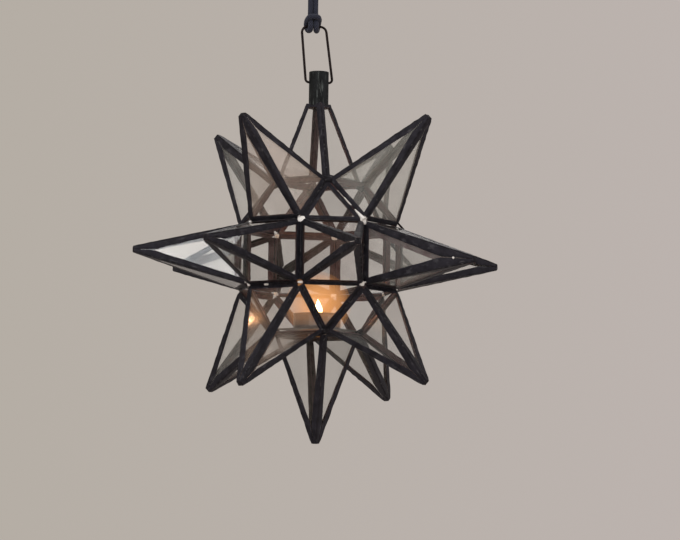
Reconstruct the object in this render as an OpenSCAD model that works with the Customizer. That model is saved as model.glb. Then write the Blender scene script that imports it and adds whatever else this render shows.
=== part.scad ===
// Hanging star lantern, made by hand from clear glass and folded tin strip.
// A body of eighteen squares and eight triangles carries eighteen glass points.
// One upper point is hinged as a door, and a tealight stands on a plate inside.
// The star hangs by a tube neck, a wire loop and a doubled cord from a ceiling hook.
// Millimetres. The origin is on the ceiling, on the axis of the hook's screw.

/* [Star] */
// Side of each square opening that carries a point
face_side = 50; // [47:1:56]
// Height of a point above its opening, to its cut tip
point_h = 87; // [70:1:95]
// Height of the top point, from its opening to the mouth that holds the neck
mouth_h = 65; // [60:1:68]
// How far every tip strays from true, as a share of the lean measured by hand
lean_share = 1; // [0:0.1:1]

/* [Glass and strip] */
// Thickness of the glass panes
glass_t = 1.2; // [1:0.1:1.8]
// Thickness of the tin that is folded over the edges of the glass
tin_t = 0.35; // [0.3:0.05:0.5]
// Width of the strip along a point's base edges
base_strip_w = 3.8; // [3.2:0.1:5]
// Width of the strip along each side of a point's ridges
ridge_strip_w = 4.2; // [3.8:0.1:5.2]
// How much narrower the strip is on the inner side of the glass
inner_strip_less = 1; // [0.4:0.1:1.2]
// Length of solder below a point's cut tip, where the strips run together
tip_solder = 15; // [12:1:20]
// Radius of the hole that the strips leave at each corner of the body
corner_hole_r = 2.4; // [1.6:0.1:2.8]

/* [Door] */
// Gap round the door's base
door_gap = 0.3; // [0.2:0.05:0.6]
// Extra gap on the side that opens
door_lip_gap = 0.6; // [0:0.1:1.2]
// Radius of the wire hinge pin
pin_r = 0.8; // [0.6:0.1:1]
// Outer radius of the hinge knuckles
knuckle_r = 1.5; // [1.4:0.05:1.8]
// Length of the door's middle knuckle
knuckle_len = 14; // [10:1:16]

/* [Candle] */
// Outer diameter of the tealight's cup
cup_d = 38.5; // [36:0.5:40]
// Height of the tealight's cup
cup_h = 12.5; // [11:0.5:16]
// Thickness of the cup's wall
cup_t = 0.4; // [0.3:0.1:0.6]
// Depth of the wax below the cup's rim
wax_drop = 3; // [1.5:0.5:5]
// Height of the wick above the wax
wick_h = 4.5; // [3:0.5:7]
// Thickness of the plate that the candle stands on
plate_t = 0.5; // [0.4:0.1:1]

/* [Neck and loop] */
// Outer diameter of the neck tube
neck_d = 15.8; // [14.5:0.1:16.8]
// Length of the neck tube
neck_len = 27.3; // [22:0.1:32]
// Wall of the neck tube
neck_t = 0.5; // [0.4:0.1:0.8]
// Distance of the loop's holes below the top of the neck
hole_drop = 8.4; // [6:0.2:10]
// Radius of the loop's wire
loop_r = 1; // [0.8:0.05:1.1]
// Height of the loop from the neck's holes to its top bar
loop_h = 45.4; // [40:0.2:52]
// Width of the loop at its top, between wire centres
loop_top_w = 19.8; // [18.8:0.2:21.6]
// How far the star's axis stands to the right of the cord
star_x = 7; // [6:0.5:8]

/* [Cord and hook] */
// Radius of the cord
cord_r = 1.85; // [1.6:0.05:1.9]
// Distance from the ceiling to the wire at the bottom of the hook's bowl
hook_drop = 38; // [36:1:46]
// Radius of the hook's wire
hook_r = 2.25; // [2:0.05:2.5]
// Radius of the hook's bowl, to the middle of its wire
bowl_r = 9; // [8.6:0.2:11]
// Radius of the bend between the hook's shank and its bowl
hook_bend_r = 5; // [4:0.5:6]
// Length of the hook's screw inside the ceiling
screw_len = 22; // [15:1:35]
// Length of the screw's pointed tip
screw_tip = 6; // [4:0.5:8]

/* [Hidden] */
$fn = 48;
tin = [0.16, 0.16, 0.18];
clear = [0.72, 0.78, 0.74, 0.45];

// thickness of a framed pane, and the half width and distance of the squares
pane_t = glass_t + 2 * tin_t;
half = face_side / 2;
face_dist = half * (1 + sqrt(2));
vertex_dist = norm([face_dist, half, half]);
// the four panes of a point close round a pinhole at the cut tip, and a hairline
// of solder parts them along the ridges
tip_half = 1.4 * pane_t;
seam = 0.03;
// how far the glass reaches into the strips
glass_base_in = 1.6;
glass_ridge_in = glass_t + 2 * tin_t + 0.2;
glass_tip_in = 6;
glass_mouth_in = 2.6;
// the mouth of the top point is a little narrower than the neck that it holds
mouth_half = neck_d / 2 - 0.6;
neck_seat = 2;
solder_gap = 0.05;
bend_thin = 0.06;

// heights, down from the ceiling
loop_z = -hook_drop - 62;
hole_z = loop_z - loop_h;
neck_z = hole_z + hole_drop - neck_len;
mouth_z = neck_z + neck_seat;
star_z = mouth_z - mouth_h - face_dist;
// the plate rests on the rims of the strips round the bottom square
rim_angle = 22.5 + atan((half - tip_half) / point_h);
rim_h = pane_t / sin(rim_angle) * cos(22.5);
plate_z = star_z - face_dist + rim_h + 0.3;
cup_z = plate_z + plate_t;

// azimuth and elevation of each point, and how far its tip leans, x y z
TOP = [45, 90, [-1.4, 0, 0]];
DOOR = [45, 45, [-1, 0, 3]];
UPPER_BACK_RIGHT = [135, 45, [0, 0, 0]];
UPPER_BACK_LEFT = [225, 45, [1, 0, 2]];
UPPER_FRONT_LEFT = [315, 45, [-1, 0, -2]];
FRONT = [0, 0, [3, -1, -1]];
FRONT_RIGHT = [45, 0, [-1, 0, -7]];
RIGHT = [90, 0, [0, 0, -2]];
BACK_RIGHT = [135, 0, [0, 0, 0]];
BACK = [180, 0, [-6, -1, 1]];
BACK_LEFT = [225, 0, [2, 0, -1]];
LEFT = [270, 0, [-1, 0, 3]];
FRONT_LEFT = [315, 0, [-1, 0, 3]];
LOWER_FRONT_RIGHT = [45, -45, [-1, 0, 3]];
LOWER_BACK_RIGHT = [135, -45, [0, 0, -3]];
LOWER_BACK_LEFT = [225, -45, [-2, 0, 1]];
LOWER_FRONT_LEFT = [315, -45, [1, 0, -1]];
BOTTOM = [45, -90, [0, 0, 0]];
// the neck stands where the top point's mouth leans to
neck_x = star_x + TOP[2][0] * lean_share;

// Directions and planes

function unit(v) = v / norm(v);
function dir(az, el) = [sin(az) * cos(el), -cos(az) * cos(el), sin(el)];
function side(az) = [cos(az), sin(az), 0];
function up(az, el) = [-sin(az) * sin(el), cos(az) * sin(el), cos(el)];
function normal(a, b, c) = unit(cross(b - a, c - a));

// four corners of a square round the point c, counted from the lower left
function square_at(p, c, w, h) = [
    for (k = [[-1, -1], [1, -1], [1, 1], [-1, 1]])
        c + side(p[0]) * k[0] * w + up(p[0], p[1]) * k[1] * h
];

// base and tip corners of a point, with a gap on the right, top, left and bottom
function base_of(p, gap = [0, 0, 0, 0]) = let (
    c = dir(p[0], p[1]) * face_dist
        + side(p[0]) * (gap[2] - gap[0]) / 2
        + up(p[0], p[1]) * (gap[3] - gap[1]) / 2
) square_at(p, c, half - (gap[0] + gap[2]) / 2, half - (gap[1] + gap[3]) / 2);
function tip_of(p, h, w) =
    square_at(p, dir(p[0], p[1]) * (face_dist + h) + p[2] * lean_share, w, w);

// the sides of a pane: for each edge a direction that leads inwards from it
function pane_normal(base, tip, k) =
    normal(base[k], base[(k + 1) % 4], tip[k]);
function ridge_dir(base, tip, k) =
    -unit(pane_normal(base, tip, k) + pane_normal(base, tip, (k + 3) % 4));

// outward normal of the plane through the edge a to b that leads along g
function edge_plane(a, b, g) = unit(cross(g, b - a));

// inner corners of a pane: each outer corner moved down along the line where
// the planes of its two edges meet, until it is t deep
function inner_points(pts, planes, n, t) = [
    for (i = [0:len(pts) - 1])
        let (
            m = planes[(i + len(pts) - 1) % len(pts)],
            line = cross(m, planes[i])
        )
        pts[i] - line * t / (line * n)
];

// Parts of a framed pane

// a plate with bevelled edges, from its outer corners and inner corners
module bevelled(outer, inner) {
    n = len(outer);
    polyhedron(
        points = concat(outer, inner),
        faces = concat(
            [[for (i = [n - 1:-1:0]) i]],
            [[for (i = [0:n - 1]) n + i]],
            [for (i = [0:n - 1]) [i, (i + 1) % n, n + (i + 1) % n, n + i]]
        )
    );
}

// places a flat shape on the plane through a, b and c: a at the origin, b along
// x, c on the side of y, and z out of the pane
module on_plane(a, b, c) {
    x = unit(b - a);
    z = normal(a, b, c);
    y = cross(z, x);
    multmatrix([
        [x[0], y[0], z[0], a[0]],
        [x[1], y[1], z[1], a[1]],
        [x[2], y[2], z[2], a[2]],
        [0, 0, 0, 1]
    ]) children();
}

// flat outline of a pane in its own plane, from its corners in space
function flat_of(pts) = let (
    x = unit(pts[1] - pts[0]),
    z = normal(pts[0], pts[1], pts[2]),
    y = cross(z, x)
) [for (p = pts) [(p - pts[0]) * x, (p - pts[0]) * y]];

// where two lines in the plane meet, each given by a point and a direction
function meet(p, d, q, e) = let (
    t = ((q[0] - p[0]) * e[1] - (q[1] - p[1]) * e[0]) / (d[0] * e[1] - d[1] * e[0])
) p + d * t;

// a flat outline with each edge moved inwards by its own distance
function inset(pts, by) = let (
    n = len(pts),
    d = [for (i = [0:n - 1]) unit(pts[(i + 1) % n] - pts[i])],
    q = [for (i = [0:n - 1]) pts[i] + [-d[i][1], d[i][0]] * by[i]]
) [for (i = [0:n - 1]) meet(q[(i + n - 1) % n], d[(i + n - 1) % n], q[i], d[i])];

// the opening of a point's pane: a triangle that ends below the soldered tip; less
// is how much narrower the strips are there
function point_window(flat, less) = let (
    w = inset(flat, [base_strip_w - less, ridge_strip_w - less, 0, ridge_strip_w - less]),
    top = (flat[2] + flat[3]) / 2,
    foot = (flat[0] + flat[1]) / 2
) [w[0], w[1], top + unit(foot - top) * (tip_solder - 2 * less)];
function mouth_window(flat, less) = let (w = ridge_strip_w + 0.4 - less)
    inset(flat, [base_strip_w - less, w, 4, w]);
function point_pane(flat, tip_in) =
    inset(flat, [glass_base_in, glass_ridge_in, tip_in, glass_ridge_in]);

// the opening through both sides of a strip, wider on the inner side of the glass
module through_pane(outer, inner) {
    translate([0, 0, -pane_t - 1]) linear_extrude(pane_t + 2) polygon(outer);
    translate([0, 0, -pane_t - 1]) linear_extrude(pane_t + 1 - tin_t - glass_t / 2) polygon(inner);
}

module glass_sheet(outline) {
    translate([0, 0, -tin_t - glass_t]) linear_extrude(glass_t) polygon(outline);
}

// the hole that is left at a corner of the body, along the line from the centre
module corner_hole(corner, r) {
    z = unit(corner);
    x = unit(cross([0.2, 0.1, 1], z));
    y = cross(z, x);
    multmatrix([
        [x[0], y[0], z[0], 0],
        [x[1], y[1], z[1], 0],
        [x[2], y[2], z[2], 0],
        [0, 0, 0, 1]
    ])
        translate([0, 0, vertex_dist - 6]) cylinder(h = 14, r = r, $fn = 5);
}

// The points

module at_star() {
    translate([star_x, 0, star_z]) children();
}

// the corners of one pane, k = 0 to 3 from the lower side
function pane_pts(base, tip, k) = let (
    j = (k + 1) % 4,
    e = unit(base[j] - base[k]) * seam
) [base[k] + e, base[j] - e, tip[j] - e, tip[k] + e];

// the frame of one pane
module pane_frame(base, tip, k, hole_r, window, tip_in) {
    j = (k + 1) % 4;
    pts = pane_pts(base, tip, k);
    n = pane_normal(base, tip, k);
    planes = [
        edge_plane(pts[0], pts[1], -pts[0]),
        edge_plane(pts[1], pts[2], ridge_dir(base, tip, j)),
        unit(cross(tip[1] - tip[0], tip[3] - tip[0])),
        edge_plane(pts[3], pts[0], ridge_dir(base, tip, k))
    ];
    flat = flat_of(pts);
    difference() {
        bevelled(pts, inner_points(pts, planes, n, pane_t));
        on_plane(pts[0], pts[1], pts[2]) {
            if (window == "mouth") through_pane(mouth_window(flat, 0), mouth_window(flat, inner_strip_less));
            else through_pane(point_window(flat, 0), point_window(flat, inner_strip_less));
            glass_sheet(point_pane(flat, tip_in));
        }
        corner_hole(base[k], hole_r[k]);
        corner_hole(base[j], hole_r[j]);
    }
}

// the glass of one pane, cut at the two corners of the body that it nears
module pane_glass(base, tip, k, tip_in) {
    pts = pane_pts(base, tip, k);
    difference() {
        on_plane(pts[0], pts[1], pts[2]) glass_sheet(point_pane(flat_of(pts), tip_in));
        corner_hole(base[k], corner_hole_r);
        corner_hole(base[(k + 1) % 4], corner_hole_r);
    }
}

module point_frame(p, gap = [0, 0, 0, 0], first_hole = corner_hole_r) {
    base = base_of(p, gap);
    tip = tip_of(p, point_h, tip_half);
    hole_r = [first_hole, corner_hole_r, corner_hole_r, corner_hole_r];
    color(tin) at_star()
        for (k = [0:3]) pane_frame(base, tip, k, hole_r, "point", glass_tip_in);
}

module point_glass(p, gap = [0, 0, 0, 0]) {
    base = base_of(p, gap);
    tip = tip_of(p, point_h, tip_half);
    color(clear) at_star()
        for (k = [0:3]) pane_glass(base, tip, k, glass_tip_in);
}

// the top point ends in a mouth, bored for the neck
module top_point_frame() {
    base = base_of(TOP);
    tip = tip_of(TOP, mouth_h, mouth_half);
    hole_r = [for (k = [0:3]) corner_hole_r];
    color(tin) difference() {
        at_star()
            for (k = [0:3]) pane_frame(base, tip, k, hole_r, "mouth", glass_mouth_in);
        translate([neck_x, 0, neck_z])
            cylinder(h = 10, r = neck_d / 2 + solder_gap);
    }
}

module top_point_glass() {
    base = base_of(TOP);
    tip = tip_of(TOP, mouth_h, mouth_half);
    color(clear) at_star()
        for (k = [0:3]) pane_glass(base, tip, k, glass_mouth_in);
}

// The flat triangles between the points, above (s = 1) or below (s = -1)

function triangle_of(az, s) = let (
    a = dir(az, 0) * half * sqrt(2) + [0, 0, s * face_dist],
    b = dir(az, 0) * (face_dist + half) / sqrt(2) + side(az) * half + [0, 0, s * half],
    left = dir(az - 22.5, 0) * half / sin(22.5) + [0, 0, s * half],
    right = dir(az + 22.5, 0) * half / sin(22.5) + [0, 0, s * half]
) s > 0 ? [left, right, a] : [right, left, a];

module triangle_frames(s) {
    color(tin) at_star()
        for (az = [0:90:270]) {
            pts = triangle_of(az, s);
            flat = flat_of(pts);
            planes = [for (i = [0:2]) edge_plane(pts[i], pts[(i + 1) % 3], -pts[i])];
            difference() {
                bevelled(pts, inner_points(pts, planes, normal(pts[0], pts[1], pts[2]), pane_t));
                on_plane(pts[0], pts[1], pts[2]) {
                    through_pane(
                        inset(flat, [for (i = [0:2]) base_strip_w]),
                        inset(flat, [for (i = [0:2]) base_strip_w - inner_strip_less])
                    );
                    glass_sheet(inset(flat, [for (i = [0:2]) glass_base_in]));
                }
                for (c = pts) corner_hole(c, corner_hole_r);
            }
        }
}

module triangle_glass(s) {
    color(clear) at_star()
        for (az = [0:90:270]) {
            pts = triangle_of(az, s);
            difference() {
                on_plane(pts[0], pts[1], pts[2])
                    glass_sheet(inset(flat_of(pts), [for (i = [0:2]) glass_base_in]));
                for (c = pts) corner_hole(c, corner_hole_r);
            }
        }
}

// The door's hinge, along the right edge of its base

DOOR_GAP = [door_gap, door_gap, door_gap + door_lip_gap, door_gap];
hinge_a = base_of(DOOR)[2];
hinge_b = base_of(DOOR)[1];
hinge_x = unit(hinge_b - hinge_a);
door_side_n = pane_normal(base_of(DOOR, DOOR_GAP), tip_of(DOOR, point_h, tip_half), 1);
body_side_n = unit(dir(90, atan(1 / sqrt(2))));
// the axis stands clear of both planes by the knuckle's radius and a little more
hinge_off = (knuckle_r + 0.15) * (door_side_n + body_side_n) / (1 + door_side_n * body_side_n);
hinge_o = hinge_a + hinge_off;
leaf_w = base_strip_w - 0.2;
leaf_t = tin_t;
pin_gap = 0.05;
pin_out = 4;

// places along the hinge: x down its axis, z away from the plane with normal n
module at_hinge(n) {
    y = cross(n, hinge_x);
    at_star() multmatrix([
        [hinge_x[0], y[0], n[0], hinge_o[0]],
        [hinge_x[1], y[1], n[1], hinge_o[1]],
        [hinge_x[2], y[2], n[2], hinge_o[2]],
        [0, 0, 0, 1]
    ]) children();
}

// a rolled knuckle with the leaf that is soldered to a strip, on the side s
module knuckle(from, length, s) {
    difference() {
        union() {
            translate([from, 0, 0]) rotate([0, 90, 0]) cylinder(h = length, r = knuckle_r);
            translate([from, s > 0 ? 0 : -leaf_w, -knuckle_r - 0.15])
                cube([length, leaf_w, leaf_t]);
        }
        translate([from - 1, 0, 0]) rotate([0, 90, 0]) cylinder(h = length + 2, r = pin_r + pin_gap);
    }
}

module door_knuckle() {
    color(tin) at_hinge(door_side_n)
        knuckle((face_side - knuckle_len) / 2, knuckle_len, -1);
}

module body_knuckles() {
    gap = 0.4;
    length = knuckle_len - 4;
    color(tin) at_hinge(body_side_n) {
        knuckle((face_side - knuckle_len) / 2 - gap - length, length, 1);
        knuckle((face_side + knuckle_len) / 2 + gap, length, 1);
    }
}

module hinge_pin() {
    color(tin) at_hinge(body_side_n)
        translate([2, 0, 0]) rotate([0, 90, 0]) cylinder(h = face_side - 2 + pin_out, r = pin_r);
}

// The candle

module candle_plate() {
    r = half * sqrt(2) - 3;
    w = half - 0.6;
    color([0.35, 0.34, 0.33]) translate([star_x, 0, plate_z])
        linear_extrude(plate_t) intersection() {
            rotate(45) square(2 * w, center = true);
            circle(r = r);
        }
}

module candle_cup() {
    color([0.75, 0.74, 0.72]) translate([star_x, 0, cup_z]) difference() {
        cylinder(h = cup_h, d = cup_d);
        translate([0, 0, cup_t]) cylinder(h = cup_h, d = cup_d - 2 * cup_t);
    }
}

module candle_wax() {
    color([0.93, 0.9, 0.8]) translate([star_x, 0, cup_z + cup_t]) difference() {
        cylinder(h = cup_h - cup_t - wax_drop, d = cup_d - 2 * cup_t - 0.1);
        translate([0, 0, 1]) cylinder(h = cup_h, r = 0.7);
    }
}

module candle_wick() {
    color([0.15, 0.13, 0.12]) translate([star_x, 0, cup_z + cup_t + 1])
        cylinder(h = cup_h - cup_t - wax_drop + wick_h - 1, r = 0.7);
}

// Neck, loop and hook

// round wire in the xz plane along corner points, each with its bend radius; the
// straight lengths reach a little way over the bends, which are a hair thinner
module wire(pts, r, bends) {
    lap = 0.4;
    n = len(pts);
    d = [for (i = [0:n - 2]) unit(pts[i + 1] - pts[i])];
    turn = [for (i = [1:n - 2]) let (c = d[i - 1][0] * d[i][1] - d[i - 1][1] * d[i][0])
        atan2(c, d[i - 1] * d[i])];
    cut = [for (i = [0:n - 1]) i == 0 || i == n - 1 ? 0 : bends[i] * tan(abs(turn[i - 1]) / 2)];
    for (i = [0:n - 2]) {
        before = i == 0 ? 0 : cut[i] - lap;
        after = i == n - 2 ? 0 : cut[i + 1] - lap;
        a = pts[i] + d[i] * before;
        length = norm(pts[i + 1] - pts[i]) - before - after;
        translate([a[0], 0, a[1]]) rotate([0, atan2(d[i][0], d[i][1]), 0]) cylinder(h = length, r = r);
    }
    for (i = [1:n - 2]) {
        s = turn[i - 1] > 0 ? 1 : -1;
        a = pts[i] - d[i - 1] * cut[i];
        c = a + [-d[i - 1][1], d[i - 1][0]] * bends[i] * s;
        first = s > 0 ? atan2(a[1] - c[1], a[0] - c[0]) : atan2(a[1] - c[1], a[0] - c[0]) + turn[i - 1];
        translate([c[0], 0, c[1]]) rotate([90, 0, 0]) rotate([0, 0, first])
            rotate_extrude(angle = abs(turn[i - 1])) translate([bends[i], 0]) circle(r = r - bend_thin);
    }
}

module neck_tube() {
    color(tin) difference() {
        translate([neck_x, 0, neck_z]) cylinder(h = neck_len, d = neck_d);
        translate([neck_x, 0, neck_z - 1]) cylinder(h = neck_len + 2, d = neck_d - 2 * neck_t);
        translate([neck_x - neck_d, 0, hole_z]) rotate([0, 90, 0])
            cylinder(h = 2 * neck_d, r = loop_r + 0.3);
    }
}

// the loop is bent a little askew, and its ends point inwards through the neck
module hanging_loop() {
    in = neck_d / 2 - neck_t - 1.2;
    color(tin) translate([0, 0, hole_z]) wire(
        [
            [neck_x - in, 0],
            [neck_x - neck_d / 2 - 2.8, 0],
            [0.7 - loop_top_w / 2, loop_h],
            [0.7 + loop_top_w / 2, loop_h],
            [neck_x + neck_d / 2 + 3.2, 0],
            [neck_x + in, 0]
        ],
        loop_r,
        [0, 2.8, 5, 5, 2.8, 0]
    );
}

// the hook's shank turns through a small bend into the round bowl; the bend is a
// hair thinner, and the shank and the bowl reach a little way over it
module ceiling_hook() {
    bowl_z = bowl_r - hook_drop;
    bend_z = bowl_z + sqrt(pow(bowl_r + hook_bend_r, 2) - hook_bend_r * hook_bend_r);
    meet_a = acos(hook_bend_r / (bowl_r + hook_bend_r));
    lap = 2;
    color([0.3, 0.3, 0.31]) {
        translate([0, 0, bend_z - 0.3]) cylinder(h = screw_len - screw_tip - bend_z + 0.3, r = hook_r);
        translate([0, 0, screw_len - screw_tip]) cylinder(h = screw_tip, r1 = hook_r, r2 = hook_r / 6);
        translate([0, hook_bend_r, bend_z]) rotate([90, 0, 90]) rotate([0, 0, 180])
            rotate_extrude(angle = meet_a) translate([hook_bend_r, 0]) circle(r = hook_r - bend_thin);
        translate([0, 0, bowl_z]) rotate([90, 0, 90]) rotate([0, 0, -200])
            rotate_extrude(angle = 200 + meet_a + lap) translate([bowl_r, 0]) circle(r = hook_r);
    }
}

// The cord and its knot

// points on a smooth curve through the given points, n steps between each pair
function curve_pt(p, i, t) = let (
    m = len(p) - 1,
    a = p[max(i - 1, 0)],
    b = p[i],
    c = p[min(i + 1, m)],
    d = p[min(i + 2, m)]
) (2 * b + (c - a) * t + (2 * a - 5 * b + 4 * c - d) * t * t
    + (3 * b - a - 3 * c + d) * t * t * t) / 2;
function curve(p, n) = concat(
    [for (i = [0:len(p) - 2], k = [0:n - 1]) curve_pt(p, i, k / n)],
    [p[len(p) - 1]]
);

// directions across the curve, each turned as little as possible from the last
function run_dir(p, i) = unit(p[min(i + 1, len(p) - 1)] - p[max(i - 1, 0)]);
function across(p, i, last) = let (t = run_dir(p, i)) unit(last - t * (t * last));
function carry(p, i, last) = i == len(p) ? []
    : let (u = across(p, i, last)) concat([u], carry(p, i + 1, u));

// a round cord along the points, with its ends cut square to end_dir
module cord_tube(p, r, sides, end_dir) {
    n = len(p);
    u = carry(p, 0, [0, 1, 0]);
    rings = [
        for (i = [0:n - 1])
            let (
                t = i == 0 ? end_dir[0] : i == n - 1 ? end_dir[1] : run_dir(p, i),
                a = unit(u[i] - t * (t * u[i])),
                b = cross(t, a)
            )
            for (k = [0:sides - 1])
                p[i] + r * (a * cos(360 * k / sides) + b * sin(360 * k / sides))
    ];
    polyhedron(
        points = rings,
        faces = concat(
            [[for (k = [sides - 1:-1:0]) k]],
            [for (i = [0:n - 2], k = [0:sides - 1])
                [i * sides + k, i * sides + (k + 1) % sides,
                 (i + 1) * sides + (k + 1) % sides, (i + 1) * sides + k]],
            [[for (k = [0:sides - 1]) (n - 1) * sides + k]]
        )
    );
}

// half of the knot, from the middle of its crossing round the loop's top bar and
// up, from the bar's centre: x right, y back, z up
KNOT = [
    [0, -5.5, 6.6],
    [2.4, -5.5, 6.6],
    [4.9, -4.6, 6.5],
    [6.3, -2.2, 5.8],
    [6.2, 0.6, 4.4],
    [5.8, 2.8, 2],
    [4.9, 3.1, -1],
    [3.6, 1.2, -3.1],
    [2.4, -1.5, -3],
    [2.2, -3.2, -0.7],
    [2.2, -3, 2.3],
    [2.2, -1.5, 5.3],
    [2.1, -0.3, 8.2],
    [2.1, 0, 11]
];
// one side of the doubled cord, from the knot up to the hook: x and z
CORD = [
    [2.1, 11],
    [2.2, 25],
    [3.4, 45],
    [4.3, 57]
];
knot_right = curve(KNOT, 3);
knot_left = [for (i = [len(knot_right) - 1:-1:1]) [-knot_right[i][0], knot_right[i][1], knot_right[i][2]]];
knot_path = concat(knot_left, knot_right);

// least gap between stretches of a cord that lie at least skip points apart
function self_gap(p, r, skip) =
    min([for (i = [0:len(p) - 1 - skip], j = [i + skip:len(p) - 1]) norm(p[i] - p[j])]) - 2 * r;
echo(str("least gap of the knot to itself, mm: ", self_gap(knot_path, cord_r, 7)));

module cord_knot() {
    color([0.12, 0.13, 0.19]) translate([0, 0, loop_z])
        cord_tube(knot_path, cord_r, 8, [[0, 0, -1], [0, 0, 1]]);
}

module hanging_cord() {
    wrap_r = hook_r + cord_r + 0.3;
    right = curve([for (p = CORD) [p[0], 0, loop_z + p[1]]], 2);
    left = [for (i = [len(right) - 1:-1:0]) [-right[i][0], 0, right[i][2]]];
    over = [for (a = [10:20:170]) [wrap_r * cos(a), 0, -hook_drop + wrap_r * sin(a)]];
    color([0.12, 0.13, 0.19])
        cord_tube(concat(right, over, left), cord_r, 8, [[0, 0, 1], [0, 0, -1]]);
}

ceiling_hook();
hanging_cord();
cord_knot();
hanging_loop();
neck_tube();
top_point_frame();
top_point_glass();
point_frame(DOOR, DOOR_GAP, 3.8);  // door_frame
point_glass(DOOR, DOOR_GAP);  // door_glass
door_knuckle();
body_knuckles();
hinge_pin();
point_frame(UPPER_BACK_RIGHT);  // upper_back_right_frame
point_glass(UPPER_BACK_RIGHT);  // upper_back_right_glass
point_frame(UPPER_BACK_LEFT);  // upper_back_left_frame
point_glass(UPPER_BACK_LEFT);  // upper_back_left_glass
point_frame(UPPER_FRONT_LEFT);  // upper_front_left_frame
point_glass(UPPER_FRONT_LEFT);  // upper_front_left_glass
point_frame(FRONT);  // front_point_frame
point_glass(FRONT);  // front_point_glass
point_frame(FRONT_RIGHT);  // front_right_point_frame
point_glass(FRONT_RIGHT);  // front_right_point_glass
point_frame(RIGHT);  // right_point_frame
point_glass(RIGHT);  // right_point_glass
point_frame(BACK_RIGHT);  // back_right_point_frame
point_glass(BACK_RIGHT);  // back_right_point_glass
point_frame(BACK);  // back_point_frame
point_glass(BACK);  // back_point_glass
point_frame(BACK_LEFT);  // back_left_point_frame
point_glass(BACK_LEFT);  // back_left_point_glass
point_frame(LEFT);  // left_point_frame
point_glass(LEFT);  // left_point_glass
point_frame(FRONT_LEFT);  // front_left_point_frame
point_glass(FRONT_LEFT);  // front_left_point_glass
point_frame(LOWER_FRONT_RIGHT);  // lower_front_right_frame
point_glass(LOWER_FRONT_RIGHT);  // lower_front_right_glass
point_frame(LOWER_BACK_RIGHT);  // lower_back_right_frame
point_glass(LOWER_BACK_RIGHT);  // lower_back_right_glass
point_frame(LOWER_BACK_LEFT);  // lower_back_left_frame
point_glass(LOWER_BACK_LEFT);  // lower_back_left_glass
point_frame(LOWER_FRONT_LEFT);  // lower_front_left_frame
point_glass(LOWER_FRONT_LEFT);  // lower_front_left_glass
point_frame(BOTTOM);  // bottom_point_frame
point_glass(BOTTOM);  // bottom_point_glass
triangle_frames(1);  // upper_triangle_frames
triangle_glass(1);  // upper_triangle_glass
triangle_frames(-1);  // lower_triangle_frames
triangle_glass(-1);  // lower_triangle_glass
candle_plate();
candle_cup();
candle_wax();
candle_wick();
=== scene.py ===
import math

import bpy
import numpy as np
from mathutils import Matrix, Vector


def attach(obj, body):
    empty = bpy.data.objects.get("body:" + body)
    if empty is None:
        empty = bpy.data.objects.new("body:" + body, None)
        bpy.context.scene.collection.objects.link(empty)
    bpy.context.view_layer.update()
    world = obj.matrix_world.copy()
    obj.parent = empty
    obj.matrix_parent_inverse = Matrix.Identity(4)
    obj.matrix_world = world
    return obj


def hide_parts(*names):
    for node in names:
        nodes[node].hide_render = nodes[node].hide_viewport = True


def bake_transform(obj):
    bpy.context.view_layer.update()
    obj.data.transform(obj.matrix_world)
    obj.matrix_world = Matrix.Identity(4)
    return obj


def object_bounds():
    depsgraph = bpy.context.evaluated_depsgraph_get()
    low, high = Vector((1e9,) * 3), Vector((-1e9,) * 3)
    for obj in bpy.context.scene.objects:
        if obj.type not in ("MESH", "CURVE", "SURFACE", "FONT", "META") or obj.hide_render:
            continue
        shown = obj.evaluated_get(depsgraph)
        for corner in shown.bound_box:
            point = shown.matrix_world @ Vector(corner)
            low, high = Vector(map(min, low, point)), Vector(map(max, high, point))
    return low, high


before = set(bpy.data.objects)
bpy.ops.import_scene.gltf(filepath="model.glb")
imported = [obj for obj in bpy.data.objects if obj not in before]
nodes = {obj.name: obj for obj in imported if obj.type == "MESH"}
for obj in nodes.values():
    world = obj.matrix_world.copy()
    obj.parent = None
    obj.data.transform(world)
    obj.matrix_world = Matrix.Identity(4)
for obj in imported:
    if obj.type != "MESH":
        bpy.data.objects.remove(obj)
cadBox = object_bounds()
mm = 0.001

# camera and backdrop: the photograph looks up at the lantern from below left of its front point
shot = {
    "place": (-0.36482, -2.02926, -0.50047),
    "turn": (95.654, -0.796, -10.954),  # degrees, about x, y and z
    "lens": 137.65,
    "sensor": 36,
    "near": 0.05,
    "far": 60,
    "wall": (0.475, 0.425, 0.39),  # pale warm grey, as the wall in the room
    "wallLeft": (0.462, 0.421, 0.375),
    "wallRight": (0.5, 0.449, 0.423),
    "floorBelow": 0.62,
    "floorHalf": 9,
    "ambient": 0.85,
    "aim": (0, 0, -0.28),  # what the soft boxes point at
    # place, side and watts of each soft box
    "boxes": {
        "keyBox": ((-1.45, -2.75, 0.4), 0.95, 12),
        "highBox": ((-1.5, -1.3, 2.2), 1.8, 18),
        "fillBox": ((2.2, -1.2, 0.3), 1.8, 6),
        "backBox": ((0.4, 2.4, 1.2), 1.8, 14),
    },
}

scene = bpy.context.scene
scene.view_settings.view_transform = "Standard"
scene.cycles.transparent_max_bounces = 64  # a line of sight crosses many panes

camera = bpy.data.objects.new("camera", bpy.data.cameras.new("camera"))
scene.collection.objects.link(camera)
camera.location = shot["place"]
camera.rotation_euler = [math.radians(a) for a in shot["turn"]]
camera.data.lens = shot["lens"]
camera.data.sensor_width = shot["sensor"]
camera.data.clip_start = shot["near"]
camera.data.clip_end = shot["far"]
scene.camera = camera


# small helpers for node materials
def startMaterial(name):
    mat = bpy.data.materials.new(name)
    mat.use_nodes = True
    shader = mat.node_tree.nodes["Principled BSDF"]
    return mat, mat.node_tree, shader


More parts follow.
